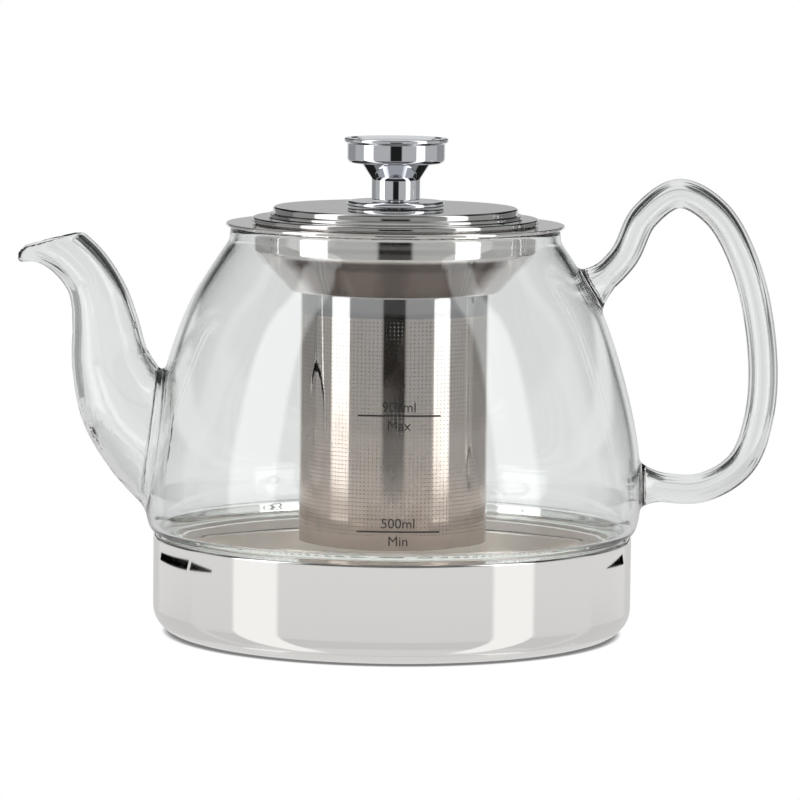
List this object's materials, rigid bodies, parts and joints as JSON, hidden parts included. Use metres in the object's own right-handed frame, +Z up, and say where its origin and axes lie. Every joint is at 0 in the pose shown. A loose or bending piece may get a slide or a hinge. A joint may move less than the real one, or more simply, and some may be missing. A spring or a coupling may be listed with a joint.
{
  "type": "teapot infuser",
  "caption": "Clear glass teapot on a steel induction base, with a drop-in perforated steel infuser and a stepped steel lid with a knob.",
  "frame": {"origin": "centre of the flat underside of the steel base", "axes": "+Z up, +X towards the handle, -X towards the spout, -Y towards the level marks on the front"},
  "size_m": [0.2163, 0.1418, 0.1411],
  "materials": {
    "glass": "clear borosilicate, fire-polished",
    "silicone": "translucent white silicone, matt",
    "base_steel": "mirror-polished stainless steel",
    "spreader": "plain rolled aluminium",
    "liner_steel": "satin stainless steel",
    "infuser_steel": "polished stainless steel sheet",
    "lid_steel": "polished stainless steel sheet",
    "knob_chrome": "bright chrome",
    "fastener_steel": "plain stainless steel"
  },
  "bodies": {
    "jug": {"glass_body": "glass", "glass_spout": "glass", "glass_handle": "glass", "base_seal": "silicone", "base_cup": "base_steel", "heat_spreader": "spreader", "floor_liner": "liner_steel"},
    "infuser": {"infuser_collar": "infuser_steel", "infuser_sleeve": "infuser_steel", "infuser_base": "infuser_steel"},
    "lid": {"lid_cover": "lid_steel", "lid_skirt": "lid_steel", "knob": "knob_chrome", "knob_rosette": "knob_chrome", "lid_screw": "fastener_steel", "lid_washer": "fastener_steel"}
  },
  "joints": [
    {"name": "infuser_lift", "type": "slide", "parent": "jug", "child": "infuser", "axis": [0, 0, 1], "range_m": [0, 0.1]},
    {"name": "lid_lift", "type": "slide", "parent": "infuser", "child": "lid", "axis": [0, 0, 1], "range_m": [0, 0.05]}
  ]
}
